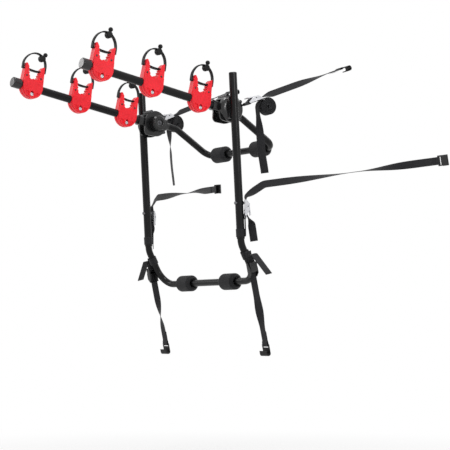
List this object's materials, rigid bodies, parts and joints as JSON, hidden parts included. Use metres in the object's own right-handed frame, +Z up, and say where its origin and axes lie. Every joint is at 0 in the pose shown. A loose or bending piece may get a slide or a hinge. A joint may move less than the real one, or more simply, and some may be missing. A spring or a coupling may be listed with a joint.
{
  "type": "bicycle rack",
  "caption": "Trunk mounted bike rack: bent tube frame with padded rests, two folding arms with notched cradles, and webbing straps with hooks.",
  "frame": {"origin": "middle of the line where the two lower pads rest on the tailgate", "axes": "+Z up, +Y toward the vehicle, +X to the right seen from behind the vehicle"},
  "size_m": [1.2124, 1.1263, 0.9727],
  "materials": {
    "frame_steel": "black satin powder coat",
    "hub_plastic": "black moulded nylon, slight sheen",
    "cap_plastic": "black moulded plastic",
    "cradle_plastic": "bright red moulded plastic",
    "cradle_rubber": "black rubber",
    "foam": "dark grey closed-cell foam",
    "webbing": "black woven polypropylene webbing",
    "hook_steel": "steel dipped in black vinyl",
    "buckle_steel": "black coated steel, worn bright at its edges",
    "fastener_steel": "blackened zinc"
  },
  "bodies": {
    "frame": {"bottom_hooks": "hook_steel", "buckle_pins": "fastener_steel", "frame_bolts": "fastener_steel", "hub_screws": "fastener_steel", "left_bottom_buckle": "buckle_steel", "left_bottom_strap": "webbing", "left_hub_inner": "hub_plastic", "left_hub_outer": "hub_plastic", "left_leg": "frame_steel", "left_lower_pad": "foam", "left_side_buckle": "buckle_steel", "left_side_strap": "webbing", "left_top_buckle": "buckle_steel", "left_top_strap": "webbing", "leg_caps": "cap_plastic", "lower_frame": "frame_steel", "pivot_bolts": "fastener_steel", "right_bottom_buckle": "buckle_steel", "right_bottom_strap": "webbing", "right_hub_inner": "hub_plastic", "right_hub_outer": "hub_plastic", "right_leg": "frame_steel", "right_lower_pad": "foam", "right_side_buckle": "buckle_steel", "right_side_strap": "webbing", "right_top_buckle": "buckle_steel", "right_top_strap": "webbing", "side_hooks": "hook_steel", "top_hooks": "hook_steel"},
    "left_arm": {"left_arm_cap": "cap_plastic", "left_arm_knuckle": "hub_plastic", "left_arm_tube": "frame_steel", "left_cradle_1": "cradle_plastic", "left_cradle_2": "cradle_plastic", "left_cradle_3": "cradle_plastic", "left_cradle_bolts": "fastener_steel", "left_cradle_strap_1": "cradle_rubber", "left_cradle_strap_2": "cradle_rubber", "left_cradle_strap_3": "cradle_rubber"},
    "right_arm": {"right_arm_cap": "cap_plastic", "right_arm_knuckle": "hub_plastic", "right_arm_tube": "frame_steel", "right_cradle_1": "cradle_plastic", "right_cradle_2": "cradle_plastic", "right_cradle_3": "cradle_plastic", "right_cradle_bolts": "fastener_steel", "right_cradle_strap_1": "cradle_rubber", "right_cradle_strap_2": "cradle_rubber", "right_cradle_strap_3": "cradle_rubber"},
    "upper_frame": {"left_upper_hub": "hub_plastic", "left_upper_pad": "foam", "right_upper_hub": "hub_plastic", "right_upper_pad": "foam", "upper_frame_tube": "frame_steel"},
    "left_top_lever": {"left_top_buckle_lever": "buckle_steel"},
    "right_top_lever": {"right_top_buckle_lever": "buckle_steel"},
    "left_side_lever": {"left_side_buckle_lever": "buckle_steel"},
    "right_side_lever": {"right_side_buckle_lever": "buckle_steel"},
    "left_bottom_lever": {"left_bottom_buckle_lever": "buckle_steel"},
    "right_bottom_lever": {"right_bottom_buckle_lever": "buckle_steel"}
  },
  "joints": [
    {"name": "left_arm_fold", "type": "hinge", "parent": "frame", "child": "left_arm", "pos_m": [-0.2065, -0.107, 0.538], "axis": [1, 0, 0], "range_deg": [0, 95]},
    {"name": "right_arm_fold", "type": "hinge", "parent": "frame", "child": "right_arm", "pos_m": [0.2065, -0.107, 0.538], "axis": [1, 0, 0], "range_deg": [0, 95]},
    {"name": "upper_frame_swing", "type": "hinge", "parent": "frame", "child": "upper_frame", "pos_m": [0, -0.107, 0.538], "axis": [1, 0, 0], "range_deg": [-62, 100]},
    {"name": "left_top_buckle_release", "type": "hinge", "parent": "frame", "child": "left_top_lever", "pos_m": [-0.24213, -0.02594, 0.57794], "axis": [-0.9856, -0.1693, 0], "range_deg": [0, 60], "stiffness_Nm_per_rad": 0.02, "springref_deg": -40.11},
    {"name": "right_top_buckle_release", "type": "hinge", "parent": "frame", "child": "right_top_lever", "pos_m": [0.24213, -0.02594, 0.57794], "axis": [-0.9856, 0.1693, 0], "range_deg": [0, 60], "stiffness_Nm_per_rad": 0.02, "springref_deg": -40.11},
    {"name": "left_side_buckle_release", "type": "hinge", "parent": "frame", "child": "left_side_lever", "pos_m": [-0.26594, -0.07106, 0.229], "axis": [0.8469, 0.5317, 0], "range_deg": [0, 60], "stiffness_Nm_per_rad": 0.02, "springref_deg": -40.11},
    {"name": "right_side_buckle_release", "type": "hinge", "parent": "frame", "child": "right_side_lever", "pos_m": [0.26594, -0.07106, 0.229], "axis": [0.8469, -0.5317, 0], "range_deg": [0, 60], "stiffness_Nm_per_rad": 0.02, "springref_deg": -40.11},
    {"name": "left_bottom_buckle_release", "type": "hinge", "parent": "frame", "child": "left_bottom_lever", "pos_m": [-0.2774, -0.05816, 0.02924], "axis": [0, -0.9742, -0.2255], "range_deg": [0, 60], "stiffness_Nm_per_rad": 0.02, "springref_deg": -40.11},
    {"name": "right_bottom_buckle_release", "type": "hinge", "parent": "frame", "child": "right_bottom_lever", "pos_m": [0.2774, -0.05816, 0.02924], "axis": [0, 0.9742, 0.2255], "range_deg": [0, 60], "stiffness_Nm_per_rad": 0.02, "springref_deg": -40.11}
  ]
}
